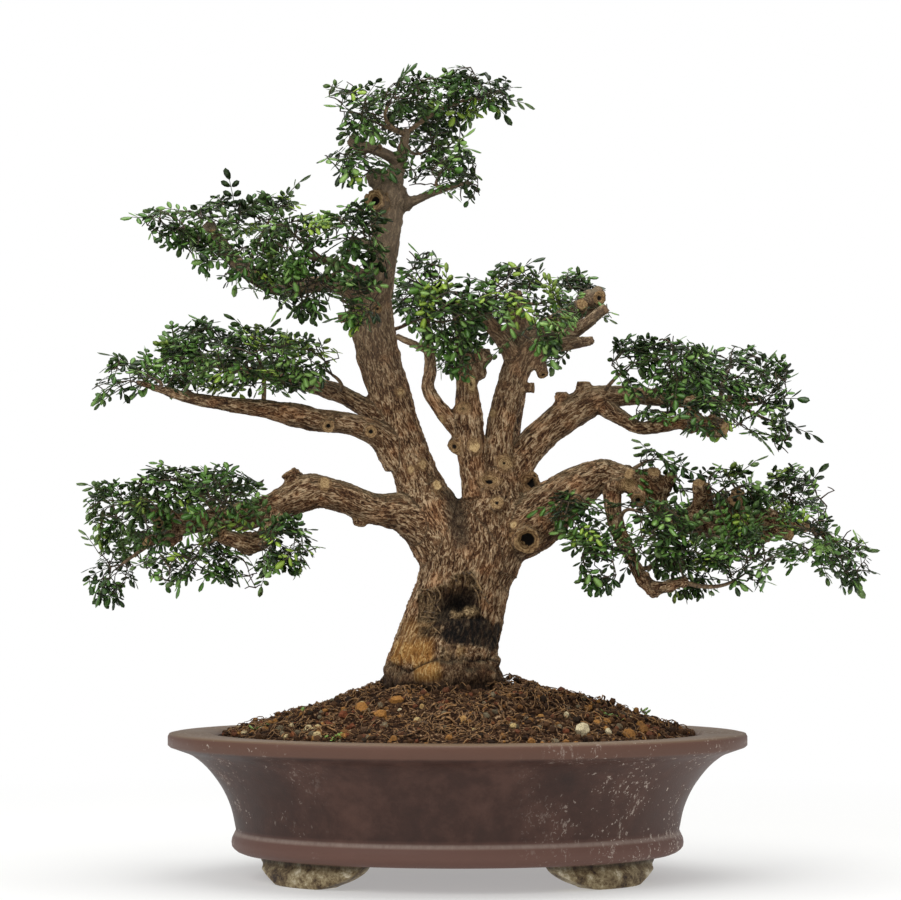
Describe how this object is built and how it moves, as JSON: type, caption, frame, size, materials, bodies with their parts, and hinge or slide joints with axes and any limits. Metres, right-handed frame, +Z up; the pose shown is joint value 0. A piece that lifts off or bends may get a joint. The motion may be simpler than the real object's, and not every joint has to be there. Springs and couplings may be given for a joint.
{
  "type": "chinese pepper bonsai",
  "caption": "Chinese pepper bonsai with a gnarled leaning trunk and tiered pads of small feathery leaves, growing in a mound of soil in an oval flared clay pot on cloud-shaped feet.",
  "frame": {"origin": "on the ground under the feet, at the middle of the whole outline of tree and pot", "axes": "+Z up, the front of the tree towards -Y, +X to the right seen from the front"},
  "size_m": [0.6246, 0.351, 0.6328],
  "materials": {
    "pot_clay": "unglazed purple-brown stoneware, satin, with a paler weathered rim",
    "soil": "dark crumbly earth and grit",
    "bark": "rough grey-brown furrowed bark",
    "leaf": "glossy dark green leaf"
  },
  "bodies": {
    "root": {"leaf_spray_back_1": "leaf", "leaf_spray_back_2": "leaf", "leaf_spray_back_3": "leaf", "leaf_spray_back_4": "leaf", "leaf_spray_back_5": "leaf", "leaf_spray_centre_1": "leaf", "leaf_spray_centre_2": "leaf", "leaf_spray_centre_3": "leaf", "leaf_spray_centre_4": "leaf", "leaf_spray_centre_5": "leaf", "leaf_spray_centre_6": "leaf", "leaf_spray_lowerLeft_1": "leaf", "leaf_spray_lowerLeft_2": "leaf", "leaf_spray_lowerLeft_3": "leaf", "leaf_spray_lowerLeft_4": "leaf", "leaf_spray_lowerLeft_5": "leaf", "leaf_spray_lowerLeft_6": "leaf", "leaf_spray_lowerLeft_7": "leaf", "leaf_spray_lowerLeft_8": "leaf", "leaf_spray_lowerRight_1": "leaf", "leaf_spray_lowerRight_10": "leaf", "leaf_spray_lowerRight_11": "leaf", "leaf_spray_lowerRight_2": "leaf", "leaf_spray_lowerRight_3": "leaf", "leaf_spray_lowerRight_4": "leaf", "leaf_spray_lowerRight_5": "leaf", "leaf_spray_lowerRight_6": "leaf", "leaf_spray_lowerRight_7": "leaf", "leaf_spray_lowerRight_8": "leaf", "leaf_spray_lowerRight_9": "leaf", "leaf_spray_midLeft_1": "leaf", "leaf_spray_midLeft_2": "leaf", "leaf_spray_midLeft_3": "leaf", "leaf_spray_midLeft_4": "leaf", "leaf_spray_midLeft_5": "leaf", "leaf_spray_midLeft_6": "leaf", "leaf_spray_top_1": "leaf", "leaf_spray_top_2": "leaf", "leaf_spray_top_3": "leaf", "leaf_spray_top_4": "leaf", "leaf_spray_top_5": "leaf", "leaf_spray_top_6": "leaf", "leaf_spray_upperLeft_1": "leaf", "leaf_spray_upperLeft_2": "leaf", "leaf_spray_upperLeft_3": "leaf", "leaf_spray_upperLeft_4": "leaf", "leaf_spray_upperLeft_5": "leaf", "leaf_spray_upperLeft_6": "leaf", "leaf_spray_upperLeft_7": "leaf", "leaf_spray_upperRight_1": "leaf", "leaf_spray_upperRight_2": "leaf", "leaf_spray_upperRight_3": "leaf", "leaf_spray_upperRight_4": "leaf", "leaf_spray_upperRight_5": "leaf", "leaf_spray_upperRight_6": "leaf", "leaf_spray_upperRight_7": "leaf", "pot": "pot_clay", "soil": "soil", "tree_wood": "bark"}
  },
  "joints": []
}
